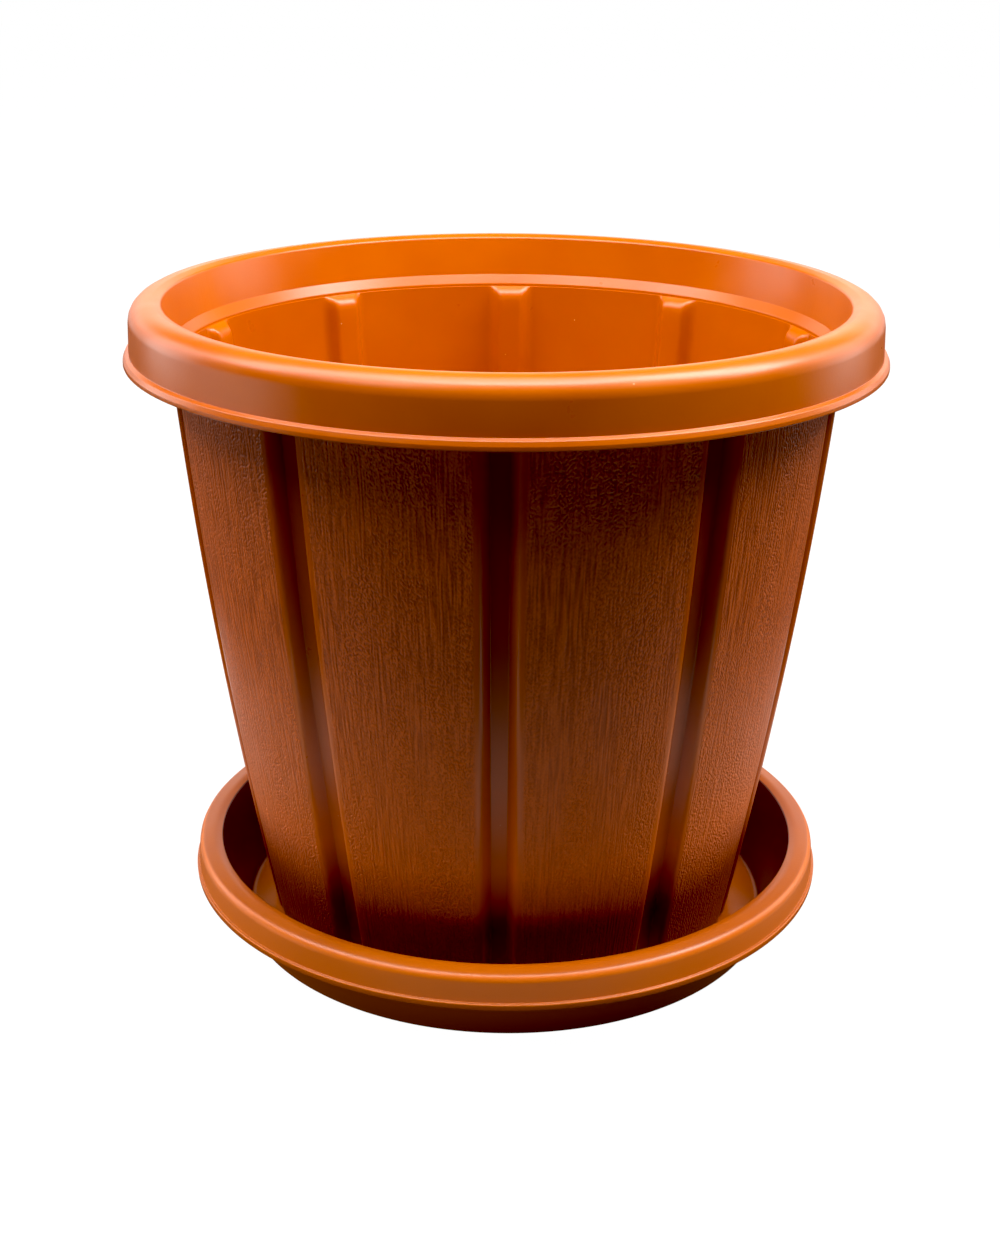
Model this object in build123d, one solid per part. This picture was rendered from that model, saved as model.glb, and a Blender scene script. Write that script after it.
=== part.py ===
from build123d import *
from math import asin, cos, degrees, radians, sin, sqrt
import os

# Fluted plastic flower pot standing in its own saucer.
# Millimetres, +Z up. The origin is on the pot's axis, at the level that the saucer stands on, and
# one flute of the pot faces -Y. The pot stands loose, a little off the middle of the saucer, and
# lifts straight up out of it.
# Pot and saucer are one moulding each. Each is given as a few plain regions that meet face to
# face: the pot's wall, floor, band, lip and skirt, and the saucer's floor, wall, lip and skirt.

# Pot body: outer radius under the collar and at the foot, and how far the wall bulges between.
BODY_TOP_RADIUS = 132.4
BODY_FOOT_RADIUS = 98.2
BODY_BULGE = 3.66
BODY_TOP = 248.0

# Wall thickness at the foot and under the collar, where the wall is thickest.
WALL_FOOT = 2.8
WALL_TOP = 4.0

# Flutes: vertical channels in the wall, which show as ribs on the inside. Each has a flat bottom,
# sloping sides and rounded shoulders. Half widths are measured across the flute.
FLUTES = 10
FLUTE_PHASE = -90.65
FLUTE_TOP = 240.5
FLUTE_DEPTH_TOP = 4.6
FLUTE_DEPTH_FOOT = 4.1
BOTTOM_HALF_TOP = 3.8
BOTTOM_HALF_FOOT = 3.3
MOUTH_HALF_TOP = 8.9
MOUTH_HALF_FOOT = 7.8
SHOULDER_RADIUS = 3.0
RIB_CORNER_RADIUS = 2.0
WALL_SECTIONS = 5

# Collar: a flat lip that turns down into a skirt ending in a bead, with a finger gap behind it.
LIP_TOP = 267.6
LIP_THICKNESS = 3.1
LIP_INNER_RADIUS = 134.2
SKIRT_TOP_RADIUS = 146.6
SKIRT_BOTTOM_RADIUS = 147.6
SKIRT_THICKNESS = 2.3
BEAD_RADIUS = 150.0
BEAD_TOP = 248.2
BEAD_BOTTOM = 244.0
BAND_THICKNESS = 2.4
LEDGE_RADIUS = 131.2
LEDGE_TOP = 250.2
LEDGE_BOTTOM = 245.6
RIB_TOP_DROP = 4.0

# Pot floor and the ring that it stands on.
FLOOR_TOP = 12.5
FLOOR_THICKNESS = 3.0
DRAIN_DIAMETER = 10.0
DRAIN_CIRCLE_RADIUS = 60.0
DRAINS = 6
NOTCH_WIDTH = 12.0
NOTCH_HEIGHT = 2.5

# Saucer, and how far its middle lies towards +X from the pot's axis.
SAUCER_OFFSET = 1.2
SAUCER_BASE_RADIUS = 112.0
SAUCER_FLOOR = 3.0
SAUCER_FLOOR_RADIUS = 109.8
SAUCER_WALL = 2.6
SAUCER_LIP_TOP = 37.8
SAUCER_LIP_INNER_RADIUS = 122.4
SAUCER_LIP_THICKNESS = 2.7
SAUCER_SKIRT_TOP_RADIUS = 132.1
SAUCER_SKIRT_BOTTOM_RADIUS = 132.5
SAUCER_SKIRT_THICKNESS = 2.0
SAUCER_BEAD_RADIUS = 133.7
SAUCER_BEAD_TOP = 26.2
SAUCER_BEAD_BOTTOM = 23.1
SAUCER_FOOT_WIDTH = 7.0
SAUCER_FOOT_HEIGHT = 0.8

# Low ribs on the saucer floor that hold the pot clear of standing water.
SUPPORT_RIBS = 8
SUPPORT_HEIGHT = 1.5
SUPPORT_WIDTH = 4.0
SUPPORT_INNER_RADIUS = 30.0
SUPPORT_OUTER_RADIUS = 97.0

POT_FOOT = SAUCER_FLOOR + SUPPORT_HEIGHT

# Where the regions of each moulding meet.
CHANNEL_RADIUS = 140.5
LIP_FOOT = LIP_TOP - 6.0
SAUCER_CHANNEL_RADIUS = 128.0
SAUCER_RIM_FOOT = SAUCER_LIP_TOP - 5.0
SAUCER_WALL_FOOT = SAUCER_FLOOR + 2.2


def polar(radius, angle):
    """Point in the horizontal plane at a radius and an angle in degrees."""
    return Vector(radius * cos(radians(angle)), radius * sin(radians(angle)))


def wall_fraction(z):
    """0 at the pot's foot and 1 where the wall meets the collar."""
    return (z - POT_FOOT) / (BODY_TOP - POT_FOOT)


def body_radius(z):
    """Outer radius of the gently bulged wall at height z."""
    t = wall_fraction(z)
    straight = BODY_FOOT_RADIUS + (BODY_TOP_RADIUS - BODY_FOOT_RADIUS) * t
    return straight + 4 * BODY_BULGE * t * (1 - t)


def taper(foot_value, top_value, z):
    """Value at height z that runs evenly from the pot's foot to the collar."""
    return foot_value + (top_value - foot_value) * wall_fraction(z)


def across(radius, half_width):
    """Angle in degrees that spans a half width at a radius."""
    return degrees(asin(half_width / radius))


def tangent_point(point, centre, radius, side):
    """Where a line from the point touches a circle, on one side of the line to its centre."""
    away = point - centre
    distance = away.length
    reach = sqrt(distance**2 - radius**2)
    sideways = Vector(-away.Y, away.X) * side
    return centre + away * (radius / distance) ** 2 + sideways * (radius * reach / distance**2)


def flute_side(angle, side, panel_radius, bottom, mouth, depth, corner_radius):
    """Corner of the bottom, and the shoulder arc's points, on one side of a flute."""
    foot = polar(panel_radius - depth, angle + side * across(panel_radius - depth, bottom))
    centre = polar(panel_radius - corner_radius, angle + side * across(panel_radius, mouth))
    outward = centre.normalized()
    on_wall = tangent_point(foot, centre, corner_radius, side)
    on_panel = centre + outward * corner_radius
    between = ((on_wall - centre).normalized() + outward).normalized()
    return foot, on_wall, centre + between * corner_radius, on_panel


def fluted_face(z, on_inside):
    """Wall outline at height z with its flutes: the outer face, or the inner face with its ribs."""
    inset = taper(WALL_FOOT, WALL_TOP, z) if on_inside else 0
    corner_radius = RIB_CORNER_RADIUS if on_inside else SHOULDER_RADIUS
    panel_radius = body_radius(z) - inset
    depth = taper(FLUTE_DEPTH_FOOT, FLUTE_DEPTH_TOP, z)
    bottom = taper(BOTTOM_HALF_FOOT, BOTTOM_HALF_TOP, z) + 0.45 * inset
    mouth = taper(MOUTH_HALF_FOOT, MOUTH_HALF_TOP, z) + 0.35 * inset
    shape = (panel_radius, bottom, mouth, depth, corner_radius)
    pitch = 360 / FLUTES
    half = across(panel_radius, mouth)
    edges = []
    for index in range(FLUTES):
        angle = FLUTE_PHASE + index * pitch
        first = flute_side(angle, -1, *shape)
        last = flute_side(angle, 1, *shape)
        edges.append(ThreePointArc(first[3], first[2], first[1]))
        edges.append(Line(first[1], first[0]))
        edges.append(Line(first[0], last[0]))
        edges.append(Line(last[0], last[1]))
        edges.append(ThreePointArc(last[1], last[2], last[3]))
        panel = (angle + half, angle + pitch / 2, angle + pitch - half)
        start, middle, end = [polar(panel_radius, at) for at in panel]
        edges.append(ThreePointArc(start, middle, end))
    return Pos(0, 0, z) * Face(Wire(edges))


def fluted_solid(bottom, top, on_inside):
    """Solid inside the fluted outline between two heights."""
    step = (top - bottom) / (WALL_SECTIONS - 1)
    levels = [bottom + step * index for index in range(WALL_SECTIONS)]
    return loft([fluted_face(z, on_inside) for z in levels])


def turned(edges):
    """Solid of revolution about Z of a closed outline of (radius, height) points."""
    outline = Plane.XZ * Face(Wire(edges))
    return revolve(outline, Axis.Z, 360)


def outline(start, steps):
    """Closed run of edges: a step is an end point, or a middle and an end point for an arc."""
    edges = []
    here = start
    for step in steps + [start]:
        if isinstance(step[0], tuple):
            middle, end = step
            edges.append(ThreePointArc(here, middle, end))
        else:
            end = step
            edges.append(Line(here, end))
        here = end
    return edges


def collar():
    """Lip, skirt, bead, inner band and ledge, with the stock that closes the tops of the ribs."""
    channel_top = LIP_TOP - LIP_THICKNESS
    skirt_inner = SKIRT_BOTTOM_RADIUS - SKIRT_THICKNESS
    band = LIP_INNER_RADIUS + BAND_THICKNESS
    inner_wall = body_radius(LEDGE_BOTTOM) - taper(WALL_FOOT, WALL_TOP, LEDGE_BOTTOM)
    rib_face = inner_wall - FLUTE_DEPTH_TOP - 1
    middle_of_wall = (BODY_TOP + FLUTE_TOP) / 2
    lip = [
        ((LIP_INNER_RADIUS + 0.5, LIP_TOP - 1.3), (LIP_INNER_RADIUS + 1.6, LIP_TOP - 0.8)),
        ((LIP_INNER_RADIUS + 4.4, LIP_TOP), (LIP_INNER_RADIUS + 7.0, LIP_TOP - 0.1)),
        ((SKIRT_TOP_RADIUS - 1.5, LIP_TOP - 2.2), (SKIRT_TOP_RADIUS, LIP_TOP - 6.2)),
    ]
    skirt = [
        (SKIRT_BOTTOM_RADIUS, BEAD_TOP),
        (BEAD_RADIUS - 0.7, BEAD_TOP - 0.6),
        ((BEAD_RADIUS - 0.1, BEAD_TOP - 1.0), (BEAD_RADIUS, BEAD_TOP - 1.7)),
        ((BEAD_RADIUS - 0.2, BEAD_BOTTOM + 0.8), (BEAD_RADIUS - 0.9, BEAD_BOTTOM)),
        (skirt_inner, BEAD_BOTTOM),
    ]
    channel = [
        (skirt_inner - 1.0, channel_top - 3.0),
        ((skirt_inner - 1.9, channel_top - 0.8), (skirt_inner - 3.8, channel_top)),
        (band + 2, channel_top),
        ((band + 0.3, channel_top - 0.6), (band - 0.4, channel_top - 2.2)),
        (LEDGE_RADIUS + BAND_THICKNESS, BODY_TOP + 1.6),
        (body_radius(BODY_TOP), BODY_TOP),
    ]
    inside = [
        ((body_radius(middle_of_wall), middle_of_wall), (body_radius(FLUTE_TOP), FLUTE_TOP)),
        (rib_face, FLUTE_TOP),
        (rib_face, LEDGE_BOTTOM - RIB_TOP_DROP),
        (inner_wall, LEDGE_BOTTOM),
        ((inner_wall + 0.5, LEDGE_BOTTOM + 1.4), (inner_wall + 1.4, LEDGE_BOTTOM + 2.4)),
        (LEDGE_RADIUS, LEDGE_TOP),
    ]
    start = (LIP_INNER_RADIUS, LIP_TOP - 2.4)
    return turned(outline(start, lip + skirt + channel + inside))


def drain_holes():
    """One hole in the middle of the floor and a ring of holes around it."""
    hole = Cylinder(DRAIN_DIAMETER / 2, FLOOR_THICKNESS * 3)
    places = PolarLocations(DRAIN_CIRCLE_RADIUS, DRAINS)
    middle = FLOOR_TOP - FLOOR_THICKNESS / 2
    return [Pos(0, 0, middle) * place * hole for place in [Location()] + list(places)]


def foot_notches():
    """Gaps in the foot ring that let water run out from under the floor."""
    start_angle = FLUTE_PHASE + 180 / FLUTES
    places = PolarLocations(BODY_FOOT_RADIUS, FLUTES // 2, start_angle=start_angle)
    height = 2 * NOTCH_HEIGHT
    notch = Box(FLUTE_DEPTH_FOOT * 4, NOTCH_WIDTH, height)
    return [Pos(0, 0, POT_FOOT) * place * notch for place in places]


def ring_space(inner, outer, bottom, top):
    """Ring-shaped or round space between two radii and two heights."""
    height = top - bottom
    space = Cylinder(outer, height)
    if inner:
        space -= Cylinder(inner, height)
    return Pos(0, 0, bottom + height / 2) * space


def make_pot():
    """Thin fluted wall with a foot ring, a floor and the collar, by region."""
    outside = fluted_solid(POT_FOOT, FLUTE_TOP, on_inside=False)
    inside = fluted_solid(POT_FOOT, LEDGE_BOTTOM + 1, on_inside=True)
    shell = outside + collar() - inside - foot_notches()
    reach = BEAD_RADIUS + 1
    below, above = POT_FOOT - 1, LIP_TOP + 1
    slab = ring_space(0, BODY_TOP_RADIUS, FLOOR_TOP - FLOOR_THICKNESS, FLOOR_TOP)
    return {
        "pot_wall": shell & ring_space(0, CHANNEL_RADIUS, below, LEDGE_TOP),
        "pot_floor": (inside & slab) - drain_holes(),
        "pot_band": shell & ring_space(0, CHANNEL_RADIUS, LEDGE_TOP, LIP_FOOT),
        "pot_lip": shell & ring_space(0, reach, LIP_FOOT, above),
        "pot_skirt": shell & ring_space(CHANNEL_RADIUS, reach, below, LIP_FOOT),
    }


def saucer_shell():
    """Dish with a lip that turns down into a short skirt ending in a bead."""
    channel_top = SAUCER_LIP_TOP - SAUCER_LIP_THICKNESS
    skirt_inner = SAUCER_SKIRT_BOTTOM_RADIUS - SAUCER_SKIRT_THICKNESS
    foot_inner = SAUCER_BASE_RADIUS - SAUCER_FOOT_WIDTH
    lip = SAUCER_LIP_INNER_RADIUS
    wall = lip + SAUCER_WALL
    floor = SAUCER_FLOOR_RADIUS
    bead = SAUCER_BEAD_RADIUS
    shoulder = SAUCER_SKIRT_TOP_RADIUS
    dish = [
        (floor, SAUCER_FLOOR),
        ((floor + 1.7, SAUCER_FLOOR + 0.6), (floor + 2.6, SAUCER_FLOOR + 2.0)),
        (lip, SAUCER_LIP_TOP - 2.1),
    ]
    rim = [
        ((lip + 0.4, SAUCER_LIP_TOP - 1.0), (lip + 1.4, SAUCER_LIP_TOP - 0.4)),
        ((lip + 4.0, SAUCER_LIP_TOP), (lip + 6.2, SAUCER_LIP_TOP - 0.4)),
        ((shoulder - 1.1, SAUCER_LIP_TOP - 1.6), (shoulder, SAUCER_LIP_TOP - 4.2)),
        (SAUCER_SKIRT_BOTTOM_RADIUS, SAUCER_BEAD_TOP),
        ((bead - 0.4, SAUCER_BEAD_TOP - 0.4), (bead, SAUCER_BEAD_TOP - 1.3)),
        ((bead - 0.1, SAUCER_BEAD_BOTTOM + 0.5), (bead - 0.6, SAUCER_BEAD_BOTTOM)),
        (skirt_inner, SAUCER_BEAD_BOTTOM),
    ]
    underside = [
        (skirt_inner - 0.4, channel_top - 2.2),
        ((skirt_inner - 1.0, channel_top - 0.6), (skirt_inner - 2.4, channel_top)),
        (wall + 0.6, channel_top),
        ((wall - 0.6, channel_top - 0.5), (wall - 1.3, channel_top - 1.7)),
        (SAUCER_BASE_RADIUS + 1.9, 1.9),
        ((SAUCER_BASE_RADIUS + 1.3, 0.5), (SAUCER_BASE_RADIUS, 0)),
        (foot_inner, 0),
        (foot_inner - 1, SAUCER_FOOT_HEIGHT),
        (0, SAUCER_FOOT_HEIGHT),
    ]
    return turned(outline((0, SAUCER_FLOOR), dish + rim + underside))


def support_ribs():
    """Low radial ribs on the saucer floor, under the pot's foot ring."""
    length = SUPPORT_OUTER_RADIUS - SUPPORT_INNER_RADIUS
    middle = (SUPPORT_OUTER_RADIUS + SUPPORT_INNER_RADIUS) / 2
    rib_height = SUPPORT_HEIGHT + SAUCER_FLOOR / 2
    rib = Box(length, SUPPORT_WIDTH, rib_height)
    centre = POT_FOOT - rib_height / 2
    places = PolarLocations(middle, SUPPORT_RIBS, start_angle=180 / SUPPORT_RIBS)
    return [Pos(0, 0, centre) * place * rib for place in places]


def make_saucer():
    """Dish with support ribs on its floor and a turned-down rim, by region."""
    shell = saucer_shell()
    reach = SAUCER_BEAD_RADIUS + 1
    channel = SAUCER_CHANNEL_RADIUS
    above = SAUCER_LIP_TOP + 1
    regions = {
        "saucer_floor": (shell & ring_space(0, reach, -1, SAUCER_WALL_FOOT)) + support_ribs(),
        "saucer_wall": shell & ring_space(0, channel, SAUCER_WALL_FOOT, SAUCER_RIM_FOOT),
        "saucer_lip": shell & ring_space(0, reach, SAUCER_RIM_FOOT, above),
        "saucer_skirt": shell & ring_space(channel, reach, SAUCER_WALL_FOOT, SAUCER_RIM_FOOT),
    }
    return {name: Pos(SAUCER_OFFSET, 0, 0) * region for name, region in regions.items()}


os.makedirs("parts", exist_ok=True)
for name, region in (make_pot() | make_saucer()).items():
    export_step(region, f"parts/{name}.step")
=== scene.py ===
import math

import bmesh
import bpy
from mathutils import Euler, Matrix, Vector


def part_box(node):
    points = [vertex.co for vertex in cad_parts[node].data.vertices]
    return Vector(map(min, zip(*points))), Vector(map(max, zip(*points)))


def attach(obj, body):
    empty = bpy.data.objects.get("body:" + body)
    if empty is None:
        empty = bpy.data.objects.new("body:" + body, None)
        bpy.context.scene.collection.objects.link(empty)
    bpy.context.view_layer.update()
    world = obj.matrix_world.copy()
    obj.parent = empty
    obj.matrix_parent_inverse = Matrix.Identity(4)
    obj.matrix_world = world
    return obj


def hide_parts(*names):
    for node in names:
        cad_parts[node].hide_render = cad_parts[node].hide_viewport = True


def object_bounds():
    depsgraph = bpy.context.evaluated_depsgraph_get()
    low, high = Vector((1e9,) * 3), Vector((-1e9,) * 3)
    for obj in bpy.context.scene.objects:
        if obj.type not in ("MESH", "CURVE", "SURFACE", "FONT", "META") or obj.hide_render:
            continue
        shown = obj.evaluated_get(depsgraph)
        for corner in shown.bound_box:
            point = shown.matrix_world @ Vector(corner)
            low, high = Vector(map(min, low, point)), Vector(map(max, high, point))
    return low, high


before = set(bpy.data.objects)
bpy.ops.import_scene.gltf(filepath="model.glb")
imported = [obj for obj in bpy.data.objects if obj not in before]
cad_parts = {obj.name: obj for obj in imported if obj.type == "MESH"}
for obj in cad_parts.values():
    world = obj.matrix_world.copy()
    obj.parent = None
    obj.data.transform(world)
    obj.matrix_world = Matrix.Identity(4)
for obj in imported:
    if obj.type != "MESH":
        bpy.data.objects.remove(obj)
cad_low, cad_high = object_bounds()

# Fluted plastic plant pot and its saucer. Shapes are worked out in millimetres, as the
# CAD part is, and turned into metres when a mesh is made.
MM = 0.001
POT_NODES = ("pot_wall", "pot_floor", "pot_band", "pot_lip", "pot_skirt")
SAUCER_NODES = ("saucer_floor", "saucer_wall", "saucer_lip", "saucer_skirt")
skirt_low, skirt_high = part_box("pot_skirt")
dish_low, dish_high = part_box("saucer_skirt")

POT_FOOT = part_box("pot_wall")[0].z / MM
LIP_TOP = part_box("pot_lip")[1].z / MM
BEAD_RADIUS = min(skirt_high.x, skirt_high.y) / MM
SAUCER_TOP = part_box("saucer_lip")[1].z / MM
SAUCER_BEAD_RADIUS = (dish_high.y - dish_low.y) / 2 / MM
SAUCER_OFFSET = (dish_high.x + dish_low.x) / 2 / MM

# Pot body.
BODY_TOP = LIP_TOP - 19.6
BODY_TOP_RADIUS = BEAD_RADIUS - 17.6
BODY_FOOT_RADIUS = BEAD_RADIUS - 51.8
BODY_BULGE = 3.66
WALL_FOOT = 2.8
WALL_TOP = 4.0
FLOOR_TOP = POT_FOOT + 8.0
FLOOR_THICKNESS = 3.0
FLOOR_FILLET = 3.0

# Flutes: (foot, top) values of the bottom's half width, the mouth's half width and the depth.
FLUTES = 10
FLUTE_PHASE = math.radians(-90.65)
FLUTE_TOP = LIP_TOP - 27.1
FLUTE_BOTTOM_HALF = (3.1, 3.6)
FLUTE_MOUTH_HALF = (6.3, 7.2)
FLUTE_DEPTH = (4.1, 4.6)
SHOULDER_RADIUS = 3.0
GROOVE_CORNER_RADIUS = 0.8
RIB_WIDER = 1.6
RIB_FOOT_RADIUS = 4.2
RIB_EDGE_RADIUS = 3.2

# How the ribs' depth fades out at their top: (height above RIB_TOP, share of the depth).
RIB_TOP = LIP_TOP - 23.6
RIB_FADE = (
    (-4.0, 0.98),
    (-2.8, 0.94),
    (-1.7, 0.86),
    (-0.8, 0.73),
    (0.0, 0.54),
    (0.6, 0.3),
    (1.1, 0),
)
RIB_FADE_START = RIB_TOP - 5.0

# Plastic colours as (red, green, blue), in linear light.
POT_COLOUR = (0.50, 0.104, 0.002)
POT_SHADE = (0.42, 0.075, 0.001)
SAUCER_COLOUR = (0.43, 0.096, 0.004)
SAUCER_SHADE = (0.37, 0.075, 0.003)
DUST = (0.8, 0.5, 0.3)
# Painted shade in the flutes' bottoms.
FLUTE_BOTTOM_SHADE = (0.28, 0.052, 0.002)
# The grain's colours: painted shade in its hollows and painted light on its crests.
GRAIN_HOLLOW_SHADE = (0.33, 0.063, 0.008)
GRAIN_CREST_LIGHT = (0.64, 0.130, 0.020)
# Painted light on a band of the lower panels.
PAINTED_LIGHT_BAND = (0.95, 0.21, 0.03)
# Painted shadow at the foot of the panels, above the saucer.
PAINTED_FOOT_SHADOW = (0.16, 0.018, 0.001)
# Painted shade on the saucer's inner wall, under the pot.
SAUCER_INSIDE_SHADE = (0.12, 0.012, 0.001)
# Painted light on the saucer's skirt and lower outer wall.
SAUCER_OUTSIDE_LIGHT = (0.98, 0.220, 0.02)

# Heights in metres over which the painted light band and the painted shadow at the panels'
# foot come in.
LIGHT_BAND_FROM_ABOVE = (0.16, 0.08)
LIGHT_BAND_FROM_BELOW = (0.04, 0.07)
FOOT_SHADOW_FROM_ABOVE = (0.066, 0.038)

# Plastic surface: the pot's and the saucer's roughness, the highlights' strength, the height in
# metres that a bump of 1 stands for, and the panels' grain.
POT_ROUGHNESS = 0.30
SAUCER_ROUGHNESS = 0.34
GLOSS = 0.40
BUMP_HEIGHT = 0.00022
GRAIN_RELIEF = 1.3
GRAIN_RADIUS = 0.118
GRAIN_ROUGHER = 0.16

# Noise of the grain and of where its streaks give way to pebbles: share of the height that counts,
# scale, detail, and the values that become 0 and 1.
STREAKS = (0.06, 1250.0, 0.0, 0.30, 0.68)
PEBBLES = (0.7, 1350.0, 0.5, 0.34, 0.64)
PATCHES = (0.3, 75.0, 2.0, 0.20, 0.80)

# Noise scales, per metre, of the uneven colour, the fine surface, the uneven sheen and the specks.
COLOUR_SCALE = 14.0
SURFACE_SCALE = 900.0
SHEEN_SCALE = 60.0
SPECK_SCALE = 95.0

# Light that the floor gives to the object, with 1 for plain white, and the light level that the
# picture shows as black.
FLOOR_GLOW = 0.045
BLACK_LEVEL = 0.012

# Camera: focal length in millimetres, place in metres, and turns and roll in degrees.
LENS = 54.6
CAMERA_PLACE = (0.0010, -0.744, 0.411)
CAMERA_TURNS = (69.10, 0.0, 0.215)
CAMERA_ROLL = 0.372

# Where the grain lies, in millimetres: how far beside a flute's mouth it starts and over what width
# it comes in, how far past a flute's bottom the bottom's painted shade goes, and how far off the
# wall a point may be and still count as wall.
GRAIN_GAP = 2.0
GRAIN_BLEND = 0.8
BOTTOM_SHADE_MARGIN = 1.5
WALL_MARGIN = 0.35

# Levels of the saucer's painted light and shade: painted shade on its inner wall, none on its
# plain parts, painted light on its skirt and more on its lower outer wall.
LEVEL_SHADED_INSIDE, LEVEL_PLAIN, LEVEL_LIT_SKIRT, LEVEL_LIT_OUTSIDE = 0.0, 0.5, 0.71, 1.0

# How finely the meshes are cut.
ARC_STEPS = 5
PANEL_STEPS = 14
WALL_ROWS = 56
SAUCER_COLUMNS = 288
SHARP_ANGLE = 38

# Drain holes and foot notches.
DRAIN_RADIUS = 5.0
DRAIN_CIRCLE = 60.0
DRAINS = 6
NOTCH_WIDTH = 12.0
NOTCH_HEIGHT = 2.5

# Saucer's support ribs, floor and skirt.
SUPPORT_RIBS = 8
SUPPORT_INNER = 30.0
SUPPORT_OUTER = 97.0
SUPPORT_WIDTH = 4.0
SAUCER_FLOOR = 3.0
SAUCER_SKIRT_HEIGHT = 15.0


def wall_fraction(z):
    """0 at the pot's foot and 1 where the wall meets the collar."""
    return (z - POT_FOOT) / (BODY_TOP - POT_FOOT)


def between(pair, z):
    """Value at height z that runs evenly from the pair's foot value to its top value."""
    return pair[0] + (pair[1] - pair[0]) * wall_fraction(z)


def body_radius(z):
    """Outer radius of the gently bulged wall at height z."""
    t = wall_fraction(z)
    return between((BODY_FOOT_RADIUS, BODY_TOP_RADIUS), z) + 4 * BODY_BULGE * t * (1 - t)


def rounded(corners):
    """Points along a run of (x, y, radius) corners, with each corner rounded by an arc."""
    points = []
    for index, (x, y, radius) in enumerate(corners):
        corner = Vector((x, y))
        if index in (0, len(corners) - 1) or radius == 0:
            points.append(corner)
            continue
        back = (Vector(corners[index - 1][:2]) - corner).normalized()
        ahead = (Vector(corners[index + 1][:2]) - corner).normalized()
        half = math.acos(max(-1.0, min(1.0, back.dot(ahead)))) / 2
        reach = radius / math.tan(half)
        centre = corner + (back + ahead).normalized() * radius / math.sin(half)
        start = corner + back * reach - centre
        end = corner + ahead * reach - centre
        turn = start.angle_signed(end)
        for step in range(ARC_STEPS + 1):
            points.append(centre + Matrix.Rotation(-turn * step / ARC_STEPS, 2) @ start)
    return points


def flute_section(z, on_inside):
    """(across, outwards) points over one flute, from shoulder to shoulder, at height z."""
    bottom = between(FLUTE_BOTTOM_HALF, z)
    mouth = between(FLUTE_MOUTH_HALF, z)
    depth = between(FLUTE_DEPTH, z)
    shoulder, corner, reach = SHOULDER_RADIUS, GROOVE_CORNER_RADIUS, 3.0
    if on_inside:
        bottom += RIB_WIDER
        mouth += RIB_WIDER
        shoulder, corner = RIB_FOOT_RADIUS, RIB_EDGE_RADIUS
    corners = [
        (-mouth - reach, 0, 0),
        (-mouth, 0, shoulder),
        (-bottom, -depth, corner),
        (bottom, -depth, corner),
        (mouth, 0, shoulder),
        (mouth + reach, 0, 0),
    ]
    return rounded(corners)


def wall_row(z, on_inside, share=1.0, inward=0.0, height=None):
    """One closed row of wall points at height z. share scales the flutes' depth, inward moves
    the row towards the axis, and height places it elsewhere than at z."""
    inset = between((WALL_FOOT, WALL_TOP), z) if on_inside else 0
    radius = body_radius(z) - inset
    section = flute_section(z, on_inside)
    pitch = 2 * math.pi / FLUTES
    edge = section[-1].x / radius
    row = []
    for index in range(FLUTES):
        angle = FLUTE_PHASE + index * pitch
        places = [(angle + p.x / radius, radius + p.y * share) for p in section]
        free = pitch - 2 * edge
        steps = range(1, PANEL_STEPS)
        places += [(angle + edge + free * step / PANEL_STEPS, radius) for step in steps]
        for at, far in places:
            far -= inward
            row.append((far * math.cos(at), far * math.sin(at), z if height is None else height))
    return row


def turned_row(angles, radius, z):
    """One closed row of points on a circle, at the given angles."""
    return [(radius * math.cos(a), radius * math.sin(a), z) for a in angles]


def shrunk_row(row, share, z):
    """The row scaled towards the axis and set at height z."""
    return [(x * share, y * share, z) for x, y, _ in row]


def from_bmesh(name, bm):
    """Object made of a bmesh, which is freed."""
    mesh = bpy.data.meshes.new(name)
    bm.to_mesh(mesh)
    bm.free()
    made = bpy.data.objects.new(name, mesh)
    bpy.context.scene.collection.objects.link(made)
    return made


def skin(name, rows):
    """Mesh object through rows of points in millimetres, with its first and last row closed."""
    bm = bmesh.new()
    rings = [[bm.verts.new(Vector(point) * MM) for point in row] for row in rows]
    count = len(rows[0])
    for low, high in zip(rings, rings[1:]):
        for index in range(count):
            after = (index + 1) % count
            bm.faces.new((low[index], low[after], high[after], high[index]))
    for ring, step in ((rings[0], -1), (rings[-1], 1)):
        middle = sum((v.co for v in ring), Vector()) / count
        centre = bm.verts.new(middle)
        for index in range(count):
            pair = (ring[index], ring[(index + 1) % count])[::step]
            bm.faces.new((pair[0], pair[1], centre))
    bmesh.ops.recalc_face_normals(bm, faces=bm.faces)
    return from_bmesh(name, bm)


def collar_corners():
    """Corners from the top of the inner wall over the ledge, lip, skirt and bead to the body."""
    inner = body_radius(BODY_TOP) - WALL_TOP
    top, bead = LIP_TOP, BEAD_RADIUS
    return [
        (inner, top - 22.4, 0),
        (inner + 0.1, top - 21.3, 1.3),
        (bead - 18.8, top - 17.4, 0.5),
        (bead - 15.7, top - 1.1, 1.4),
        (bead - 12.3, top, 3.0),
        (bead - 3.05, top - 0.3, 7.8),
        (bead - 2.4, top - 19.5, 0.3),
        (bead - 0.9, top - 20.2, 0.8),
        (bead - 0.1, top - 21.9, 0.8),
        (bead, top - 23.3, 0.3),
        (bead - 0.5, top - 23.6, 0.2),
        (bead - 4.7, top - 23.6, 0.4),
        (bead - 5.8, top - 3.1, 3.0),
        (bead - 13.6, top - 3.1, 2.2),
        (bead - 16.4, top - 18.2, 1.2),
        (bead - 17.45, top - 19.2, 0.6),
        (bead - 17.7, top - 20.6, 0),
    ]


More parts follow.
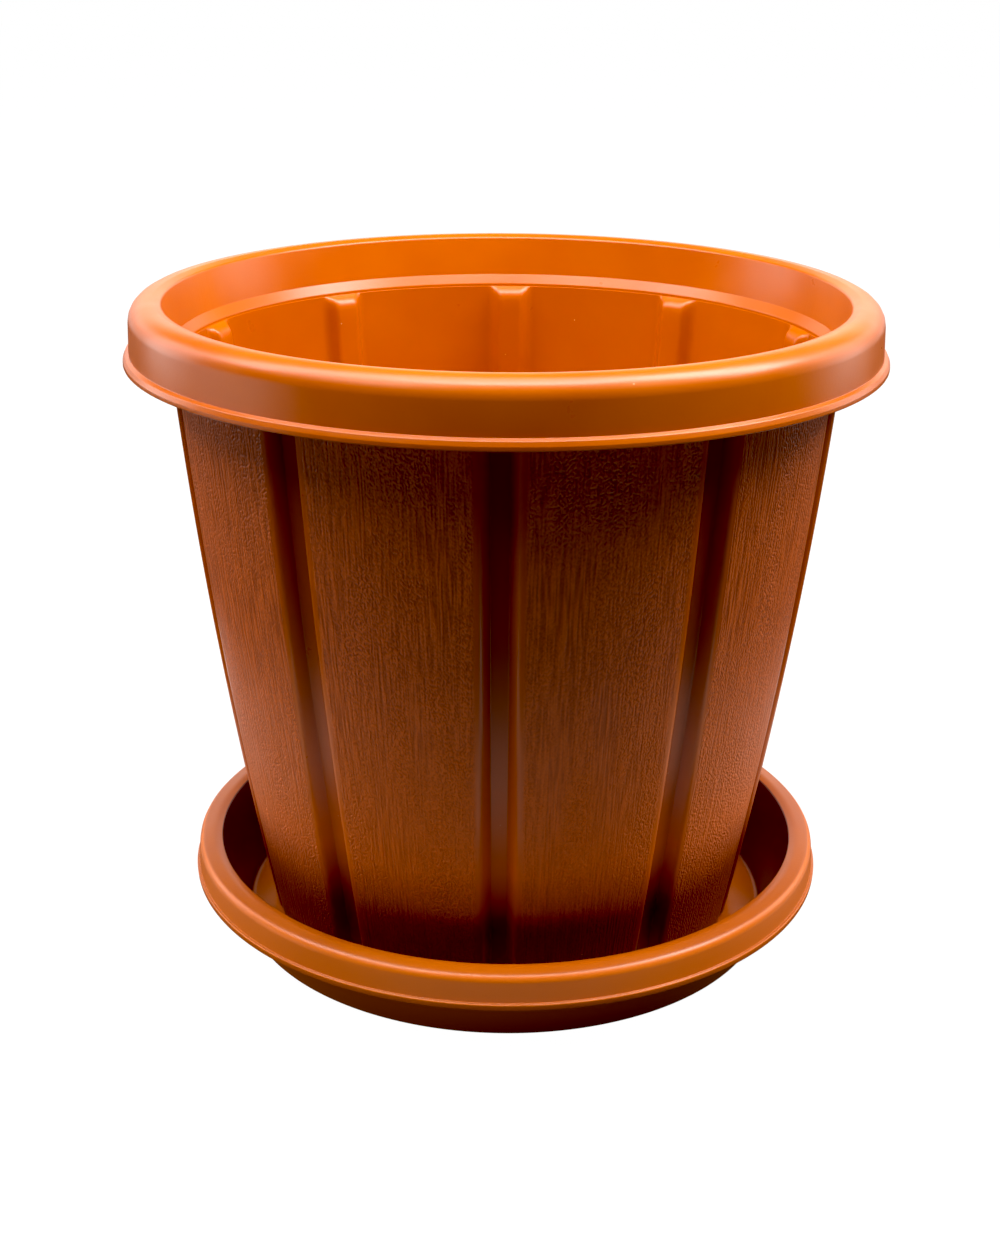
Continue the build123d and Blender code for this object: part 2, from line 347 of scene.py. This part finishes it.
def pot_rows():
    """All rows of the pot's skin, from the middle of its floor round to its underside."""
    low = FLOOR_TOP + FLOOR_FILLET
    floor_edge = wall_row(low, True, inward=FLOOR_FILLET)
    rows = [shrunk_row(floor_edge, share, FLOOR_TOP) for share in (0.05, 0.3, 0.55, 0.8, 1.0)]
    for step in range(1, ARC_STEPS):
        turn = math.pi / 2 * step / ARC_STEPS
        inward = FLOOR_FILLET * (1 - math.sin(turn))
        height = low - FLOOR_FILLET * math.cos(turn)
        rows.append(wall_row(low, True, inward=inward, height=height))
    for step in range(WALL_ROWS + 1):
        rows.append(wall_row(low + (RIB_FADE_START - low) * step / WALL_ROWS, True))
    for rise, share in RIB_FADE:
        rows.append(wall_row(RIB_TOP + rise, True, share))
    guide = wall_row(FLUTE_TOP, False)
    angles = [math.atan2(y, x) for x, y, _ in guide]
    rows += [turned_row(angles, p.x, p.y) for p in rounded(collar_corners())]
    for drop, share in ((0.0, 0.0), (0.2, 0.4), (0.8, 0.7), (1.8, 0.92), (3.0, 1.0)):
        rows.append(wall_row(FLUTE_TOP - drop, False, share))
    start, end = FLUTE_TOP - 4.0, POT_FOOT + 1.0
    for step in range(WALL_ROWS + 1):
        rows.append(wall_row(start + (end - start) * step / WALL_ROWS, False))
    rows.append(wall_row(POT_FOOT + 0.3, False, inward=0.2))
    rows.append(wall_row(POT_FOOT, False, inward=0.8))
    rows.append(wall_row(POT_FOOT, True, inward=-0.4))
    rows.append(wall_row(POT_FOOT + 0.5, True))
    under = FLOOR_TOP - FLOOR_THICKNESS
    rows.append(wall_row(under - 0.8, True))
    recess = wall_row(under, True, inward=0.6)
    rows += [shrunk_row(recess, share, under) for share in (1.0, 0.8, 0.55, 0.3, 0.05)]
    return rows


def solid_box(name, size, centre, angle=0.0, bevel=0.0):
    """Small box for a cut or a rib: size and centre in millimetres, turned about Z."""
    bm = bmesh.new()
    bmesh.ops.create_cube(bm, size=1.0)
    bmesh.ops.scale(bm, vec=Vector(size) * MM, verts=bm.verts)
    if bevel:
        bmesh.ops.bevel(
            bm, geom=bm.edges, offset=bevel * MM, segments=3, affect="EDGES", profile=0.5
        )
    bmesh.ops.translate(bm, vec=Vector(centre) * MM, verts=bm.verts)
    bmesh.ops.rotate(bm, cent=(0, 0, 0), matrix=Matrix.Rotation(angle, 3, "Z"), verts=bm.verts)
    return from_bmesh(name, bm)


def solid_drum(name, radius, height, centre):
    """Small drum for a hole, in millimetres."""
    bm = bmesh.new()
    bmesh.ops.create_cone(
        bm, cap_ends=True, segments=40, radius1=radius * MM, radius2=radius * MM, depth=height * MM
    )
    bmesh.ops.translate(bm, vec=Vector(centre) * MM, verts=bm.verts)
    return from_bmesh(name, bm)


def combine(piece, others, operation):
    """Cuts the others out of the piece, or joins them to it, and removes them."""
    for other in others:
        step = piece.modifiers.new("step", "BOOLEAN")
        step.operation = operation
        step.solver = "EXACT"
        step.object = other
    graph = bpy.context.evaluated_depsgraph_get()
    result = bpy.data.meshes.new_from_object(piece.evaluated_get(graph))
    piece.modifiers.clear()
    piece.data = result
    for other in others:
        bpy.data.objects.remove(other)


def smooth(piece):
    """Smooth shading that stays crisp where faces meet at more than SHARP_ANGLE."""
    piece.data.shade_smooth()
    piece.data.set_sharp_from_angle(angle=math.radians(SHARP_ANGLE))


def facing_out(vertex):
    """How far a vertex faces away from the axis, from -1 to 1."""
    radius = max(math.hypot(vertex.co.x, vertex.co.y), MM)
    return (vertex.normal.x * vertex.co.x + vertex.normal.y * vertex.co.y) / radius


def mark_grain_and_flute_shade(piece):
    """Stores where the moulded grain lies, 1 on the outer panels, and marks the flutes' bottoms
    with -1 for painted shade.
    """
    mesh = piece.data
    grain = mesh.attributes.new("grain", "FLOAT", "POINT")
    pitch = 2 * math.pi / FLUTES
    values = []
    for vertex in mesh.vertices:
        x, y, z = vertex.co / MM
        radius = math.hypot(x, y)
        value = 0.0
        on_wall = POT_FOOT + 1 < z < BODY_TOP and radius < body_radius(z) + WALL_MARGIN
        if on_wall and facing_out(vertex) > 0.2:
            turn = (math.atan2(y, x) - FLUTE_PHASE + pitch / 2) % pitch - pitch / 2
            across = abs(turn) * radius
            past_mouth = across - between(FLUTE_MOUTH_HALF, z) - GRAIN_GAP
            inside_bottom = between(FLUTE_BOTTOM_HALF, z) + BOTTOM_SHADE_MARGIN - across
            value = min(max(0.0, past_mouth / GRAIN_BLEND), 1.0)
            value -= min(max(0.0, inside_bottom), 1.0)
        values.append(value)
    grain.data.foreach_set("value", values)


def make_pot():
    """The pot: one moulded skin with its drain holes and the notches in its foot ring."""
    pot = skin("pot_shell", pot_rows())
    middle = FLOOR_TOP - FLOOR_THICKNESS / 2
    holes = [solid_drum("hole", DRAIN_RADIUS, FLOOR_THICKNESS * 3, (0, 0, middle))]
    for index in range(DRAINS):
        angle = 2 * math.pi * index / DRAINS
        place = (DRAIN_CIRCLE * math.cos(angle), DRAIN_CIRCLE * math.sin(angle), middle)
        holes.append(solid_drum("hole", DRAIN_RADIUS, FLOOR_THICKNESS * 3, place))
    for index in range(FLUTES // 2):
        angle = FLUTE_PHASE + math.pi / FLUTES + 2 * math.pi * index / (FLUTES // 2)
        size = (24.0, NOTCH_WIDTH, NOTCH_HEIGHT * 2)
        centre = (BODY_FOOT_RADIUS, 0, POT_FOOT)
        holes.append(solid_box("notch", size, centre, angle, bevel=1.0))
    combine(pot, holes, "DIFFERENCE")
    mark_grain_and_flute_shade(pot)
    smooth(pot)
    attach(pot, "pot")
    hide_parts(*POT_NODES)
    return pot


def saucer_corners():
    """Corners from the saucer's floor over its wall, lip, skirt and bead to its underside."""
    top, bead = SAUCER_TOP, SAUCER_BEAD_RADIUS
    base = bead - 21.8
    return [
        (6.0, SAUCER_FLOOR, 0),
        (base - 0.4, SAUCER_FLOOR, 3.2),
        (bead - 11.5, top - 0.8, 1.3),
        (bead - 8.4, top + 0.05, 6.0),
        (bead - 1.85, top - 1.0, 3.4),
        (bead - 1.2, top - 11.6, 0.2),
        (bead - 0.08, top - 11.9, 0.6),
        (bead - 0.25, top - 14.6, 0.6),
        (bead - 3.2, top - 14.7, 0.3),
        (bead - 3.6, top - 2.7, 2.0),
        (bead - 8.7, top - 2.7, 1.6),
        (base + 1.2, 0, 1.9),
        (base - 7.0, 0, 0.4),
        (base - 8.0, 0.8, 0.4),
        (6.0, 0.8, 0),
    ]


def mark_painted_light_and_shade(piece):
    """Stores the level of the saucer's painted light and shade: painted shade darkens its inner
    wall and painted light lightens its outer side.
    """
    mesh = piece.data
    painted_level = mesh.attributes.new("painted_level", "FLOAT", "POINT")
    values = []
    for vertex in mesh.vertices:
        radius = math.hypot(vertex.co.x, vertex.co.y)
        facing = facing_out(vertex)
        if radius < SAUCER_BEAD_RADIUS * 0.75 * MM or abs(facing) < 0.6:
            values.append(LEVEL_PLAIN)
        elif facing < 0:
            values.append(LEVEL_SHADED_INSIDE)
        else:
            on_skirt = vertex.co.z >= (SAUCER_TOP - SAUCER_SKIRT_HEIGHT) * MM
            values.append(LEVEL_LIT_SKIRT if on_skirt else LEVEL_LIT_OUTSIDE)
    painted_level.data.foreach_set("value", values)


def make_saucer():
    """The saucer: a turned dish with low ribs on its floor for the pot to stand on."""
    angles = [2 * math.pi * index / SAUCER_COLUMNS for index in range(SAUCER_COLUMNS)]
    rows = [turned_row(angles, p.x, p.y) for p in rounded(saucer_corners())]
    saucer = skin("saucer_dish", rows)
    ribs = []
    height = POT_FOOT - SAUCER_FLOOR + 1.0
    for index in range(SUPPORT_RIBS):
        angle = 2 * math.pi * (index + 0.5) / SUPPORT_RIBS
        size = (SUPPORT_OUTER - SUPPORT_INNER, SUPPORT_WIDTH, height)
        centre = ((SUPPORT_OUTER + SUPPORT_INNER) / 2, 0, POT_FOOT - height / 2)
        ribs.append(solid_box("rib", size, centre, angle, bevel=0.5))
    combine(saucer, ribs, "UNION")
    mark_painted_light_and_shade(saucer)
    saucer.data.transform(Matrix.Translation((SAUCER_OFFSET * MM, 0, 0)))
    smooth(saucer)
    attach(saucer, "saucer")
    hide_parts(*SAUCER_NODES)
    return saucer


class Nodes:
    """Short ways to add and join shader nodes in one material or in the world."""

    def __init__(self, owner):
        owner.use_nodes = True
        self.tree = owner.node_tree
        self.tree.nodes.clear()

    def add(self, kind, inputs=None, **settings):
        """A node with its settings; inputs maps a socket to a value or to another socket."""
        node = self.tree.nodes.new(kind)
        for key, value in settings.items():
            setattr(node, key, value)
        for key, value in (inputs or {}).items():
            if isinstance(value, bpy.types.NodeSocket):
                self.tree.links.new(value, node.inputs[key])
            else:
                node.inputs[key].default_value = value
        return node

    def math(self, operation, first, second, third=0.0):
        """Result of one Math node."""
        values = {0: first, 1: second, 2: third}
        return self.add("ShaderNodeMath", values, operation=operation).outputs[0]

    def noise(self, place, scale, detail):
        """Value of a noise texture at a place."""
        values = {"Vector": place, "Scale": scale, "Detail": detail}
        return self.add("ShaderNodeTexNoise", values).outputs["Fac"]

    def ramp(self, value, low, high):
        """The value spread so that low becomes 0 and high becomes 1, and held there."""
        values = {"Value": value, "From Min": low, "From Max": high}
        return self.add("ShaderNodeMapRange", values).outputs["Result"]

    def mix(self, share, first, second):
        """Colour between two colours."""
        node = self.add("ShaderNodeMix", {"Factor": share}, data_type="RGBA")
        for socket, value in ((node.inputs[6], first), (node.inputs[7], second)):
            if isinstance(value, bpy.types.NodeSocket):
                self.tree.links.new(value, socket)
            else:
                socket.default_value = (*value, 1.0)
        return node.outputs[2]


def grain_height(n, xyz):
    """Height, from 0 to 1, of the moulded grain: upright streaks mixed with pebbled patches."""
    flat = n.add("ShaderNodeCombineXYZ", {0: xyz.outputs[0], 1: xyz.outputs[1]})
    around = n.add("ShaderNodeVectorMath", {0: flat.outputs[0]}, operation="NORMALIZE")
    values = {0: around.outputs[0], "Scale": GRAIN_RADIUS}
    scaled = n.add("ShaderNodeVectorMath", values, operation="SCALE")

    def texture(share, scale, detail, low, high):
        """Noise drawn out along the height, of which only a share counts."""
        lift = n.add("ShaderNodeCombineXYZ", {2: n.math("MULTIPLY", xyz.outputs[2], share)})
        values = {0: scaled.outputs[0], 1: lift.outputs[0]}
        drawn_out = n.add("ShaderNodeVectorMath", values, operation="ADD").outputs[0]
        return n.ramp(n.noise(drawn_out, scale, detail), low, high)

    values = {0: texture(*PATCHES), 2: texture(*STREAKS), 3: texture(*PEBBLES)}
    return n.add("ShaderNodeMix", values).outputs[0]


def pot_surface(n, place, base, height, rough):
    """Colour, height and roughness of the pot, with its grain where the mesh says, painted shade
    and light in the grain's hollows and crests, painted shade on the flutes' bottoms and at the
    foot, and a painted light band on the lower panels.
    """
    xyz = n.add("ShaderNodeSeparateXYZ", {0: place})
    level = xyz.outputs[2]
    grain = grain_height(n, xyz)
    marked = n.add("ShaderNodeAttribute", attribute_name="grain").outputs["Fac"]
    mask = n.ramp(marked, 0.0, 1.0)
    height = n.math("MULTIPLY_ADD", n.math("MULTIPLY", grain, mask), GRAIN_RELIEF, height)
    # Painted shade on the flutes' bottoms.
    base = n.mix(n.ramp(marked, 0.0, -1.0), base, FLUTE_BOTTOM_SHADE)
    # The grain's colour on the panels: painted shade in its hollows, painted light on its crests.
    base = n.mix(mask, base, n.mix(grain, GRAIN_HOLLOW_SHADE, GRAIN_CREST_LIGHT))
    # Painted light: a lighter band on the lower panels.
    above, below = n.ramp(level, *LIGHT_BAND_FROM_ABOVE), n.ramp(level, *LIGHT_BAND_FROM_BELOW)
    lit_band = n.math("MULTIPLY", above, below)
    base = n.mix(n.math("MULTIPLY", lit_band, 0.45), base, PAINTED_LIGHT_BAND)
    # Painted shadow darkening the foot of the pot.
    foot_shadow = n.ramp(level, *FOOT_SHADOW_FROM_ABOVE)
    base = n.mix(n.math("MULTIPLY", foot_shadow, 0.7), base, PAINTED_FOOT_SHADOW)
    return base, height, n.math("MULTIPLY_ADD", mask, GRAIN_ROUGHER, rough)


def saucer_surface(n, base):
    """Colour of the saucer, with painted shade on its inner wall and painted light outside."""
    painted_level = n.add("ShaderNodeAttribute", attribute_name="painted_level").outputs["Fac"]
    # Painted shade on the saucer's inner wall.
    base = n.mix(n.ramp(painted_level, LEVEL_PLAIN, LEVEL_SHADED_INSIDE), base, SAUCER_INSIDE_SHADE)
    # Painted light on the saucer's skirt and lower outer wall.
    return n.mix(n.ramp(painted_level, LEVEL_PLAIN, LEVEL_LIT_OUTSIDE), base, SAUCER_OUTSIDE_LIGHT)


def plastic(name, colour, shade, smooth_roughness, grained):
    """Injection-moulded plastic: slightly uneven colour, fine surface, dust and small scuffs."""
    material = bpy.data.materials.new(name)
    n = Nodes(material)
    place = n.add("ShaderNodeTexCoord").outputs["Object"]
    broad = n.noise(place, COLOUR_SCALE, 3.0)
    fine = n.noise(place, SURFACE_SCALE, 2.0)
    base = n.mix(n.ramp(broad, 0.35, 0.7), colour, shade)
    height = n.math("MULTIPLY", fine, 0.10)
    sheen = n.noise(place, SHEEN_SCALE, 4.0)
    rough = n.math("MULTIPLY_ADD", sheen, 0.12, smooth_roughness - 0.06)
    if grained:
        base, height, rough = pot_surface(n, place, base, height, rough)
    else:
        base = saucer_surface(n, base)
    cells = n.add("ShaderNodeTexVoronoi", {"Vector": place, "Scale": SPECK_SCALE})
    lot = n.add("ShaderNodeSeparateColor", {0: cells.outputs["Color"]}).outputs[0]
    chosen = n.ramp(lot, 0.90, 0.97)
    specks = n.math("MULTIPLY", n.ramp(cells.outputs["Distance"], 0.045, 0.02), chosen)
    base = n.mix(n.math("MULTIPLY", specks, 0.55), base, DUST)
    bump = n.add("ShaderNodeBump", {"Height": height, "Strength": 1.0, "Distance": BUMP_HEIGHT})
    surface = {
        "Base Color": base,
        "Roughness": rough,
        "Specular IOR Level": GLOSS,
        "Normal": bump.outputs[0],
    }
    shader = n.add("ShaderNodeBsdfPrincipled", surface)
    n.add("ShaderNodeOutputMaterial", {"Surface": shader.outputs[0]})
    return material


def paint(piece, material):
    """Gives the piece its one material."""
    piece.data.materials.clear()
    piece.data.materials.append(material)


def white_floor():
    """Floor that looks plain white and gives only a little light."""
    material = bpy.data.materials.new("floor_white")
    n = Nodes(material)
    seen = n.add("ShaderNodeLightPath").outputs["Is Camera Ray"]
    glow = n.add("ShaderNodeEmission", {"Color": (1, 1, 1, 1), "Strength": 1.0})
    dull = n.add("ShaderNodeBsdfDiffuse", {"Color": (0.05, 0.05, 0.05, 1)})
    dim = n.add("ShaderNodeEmission", {"Color": (1, 1, 1, 1), "Strength": FLOOR_GLOW})
    bright = n.add("ShaderNodeAddShader", {0: glow.outputs[0], 1: dull.outputs[0]})
    choice = n.add("ShaderNodeMixShader", {0: seen, 1: dim.outputs[0], 2: bright.outputs[0]})
    n.add("ShaderNodeOutputMaterial", {"Surface": choice.outputs[0]})
    return material


def make_floor():
    """Plain pale floor, which isn't part of the object."""
    bm = bmesh.new()
    bmesh.ops.create_grid(bm, x_segments=1, y_segments=1, size=6.0)
    floor = from_bmesh("floor", bm)
    floor.location.z = cad_low.z - 0.0002
    floor.data.materials.append(white_floor())


def softbox(name, place, target, size, power):
    """Rectangular studio light at a place, facing a target."""
    lamp = bpy.data.lights.new(name, "AREA")
    lamp.shape = "RECTANGLE"
    lamp.size, lamp.size_y = size
    lamp.energy = power
    rig = bpy.data.objects.new(name, lamp)
    rig.location = place
    rig.rotation_euler = (Vector(target) - Vector(place)).to_track_quat("-Z", "Y").to_euler()
    rig.visible_camera = False
    bpy.context.scene.collection.objects.link(rig)


def make_lights():
    """Soft boxes overhead, behind and low at the left, which leave the front in half shade, and
    weak strips on the floor round the saucer."""
    middle = (0, 0, cad_high.z / 2)
    softbox("top", (0, 0, 1.3), middle, (0.7, 0.7), 8.9)
    softbox("top_near", (0, -0.32, 1.35), middle, (0.8, 0.3), 10.0)
    softbox("top_front_left", (-0.55, -0.5, 1.15), middle, (0.5, 0.5), 3.8)
    softbox("top_front_right", (0.55, -0.5, 1.15), middle, (0.5, 0.5), 0.7)
    softbox("top_left", (-0.75, 0, 1.2), middle, (0.5, 0.9), 12.3)
    softbox("top_right", (0.75, 0, 1.2), middle, (0.5, 0.9), 23.1)
    softbox("back_low", (0, 1.7, 0.25), (0, 0, 0.25), (3.6, 0.5), 4.6)
    softbox("back_high", (0, 1.7, 0.75), (0, 0, 0.75), (3.6, 0.5), 10.1)
    softbox("left_back", (-1.2, 0.5, 0.5), middle, (0.6, 0.9), 5.8)
    softbox("right_back", (1.2, 0.5, 0.5), middle, (0.6, 0.9), 4.7)
    softbox("left_low", (-1.3, -0.25, 0.15), middle, (0.8, 0.28), 1.4)
    bounces = {"front": (0, -0.23), "back": (0, 0.23), "left": (-0.23, 0), "right": (0.23, 0)}
    for side, (x, y) in bounces.items():
        size, power = ((0.54, 0.08), 0.13) if x == 0 else ((0.08, 0.54), 0.11)
        softbox("floor_" + side, (x, y, 0.0006), (x, y, 1), size, power)


def make_world():
    """White where the camera sees it, and no light from it: the soft boxes light the scene."""
    world = bpy.data.worlds.new("studio")
    bpy.context.scene.world = world
    n = Nodes(world)
    seen = n.add("ShaderNodeLightPath").outputs["Is Camera Ray"]
    unlit = n.add("ShaderNodeBackground", {"Color": (1, 1, 1, 1), "Strength": 0.0})
    white = n.add("ShaderNodeBackground", {"Color": (1, 1, 1, 1), "Strength": 1.0})
    choice = n.add("ShaderNodeMixShader", {0: seen, 1: unlit.outputs[0], 2: white.outputs[0]})
    n.add("ShaderNodeOutputWorld", {"Surface": choice.outputs[0]})


def make_camera():
    """Camera in front of the pot, a little above its rim and looking down at it."""
    data = bpy.data.cameras.new("camera")
    data.sensor_fit = "AUTO"
    data.sensor_width = 36.0
    data.lens = LENS
    camera = bpy.data.objects.new("camera", data)
    turn = Euler([math.radians(angle) for angle in CAMERA_TURNS]).to_matrix().to_4x4()
    roll = Matrix.Rotation(math.radians(CAMERA_ROLL), 4, "Z")
    place = Matrix.Translation(CAMERA_PLACE)
    camera.matrix_world = place @ turn @ roll
    bpy.context.scene.collection.objects.link(camera)
    bpy.context.scene.camera = camera


paint(make_pot(), plastic("pot_plastic", POT_COLOUR, POT_SHADE, POT_ROUGHNESS, True))
saucer_plastic = plastic("saucer_plastic", SAUCER_COLOUR, SAUCER_SHADE, SAUCER_ROUGHNESS, False)
paint(make_saucer(), saucer_plastic)
make_floor()
make_lights()
make_world()
make_camera()
grade = bpy.context.scene.view_settings
grade.view_transform = "Standard"
grade.use_curve_mapping = True
grade.curve_mapping.black_level = (BLACK_LEVEL,) * 3
grade.curve_mapping.update()
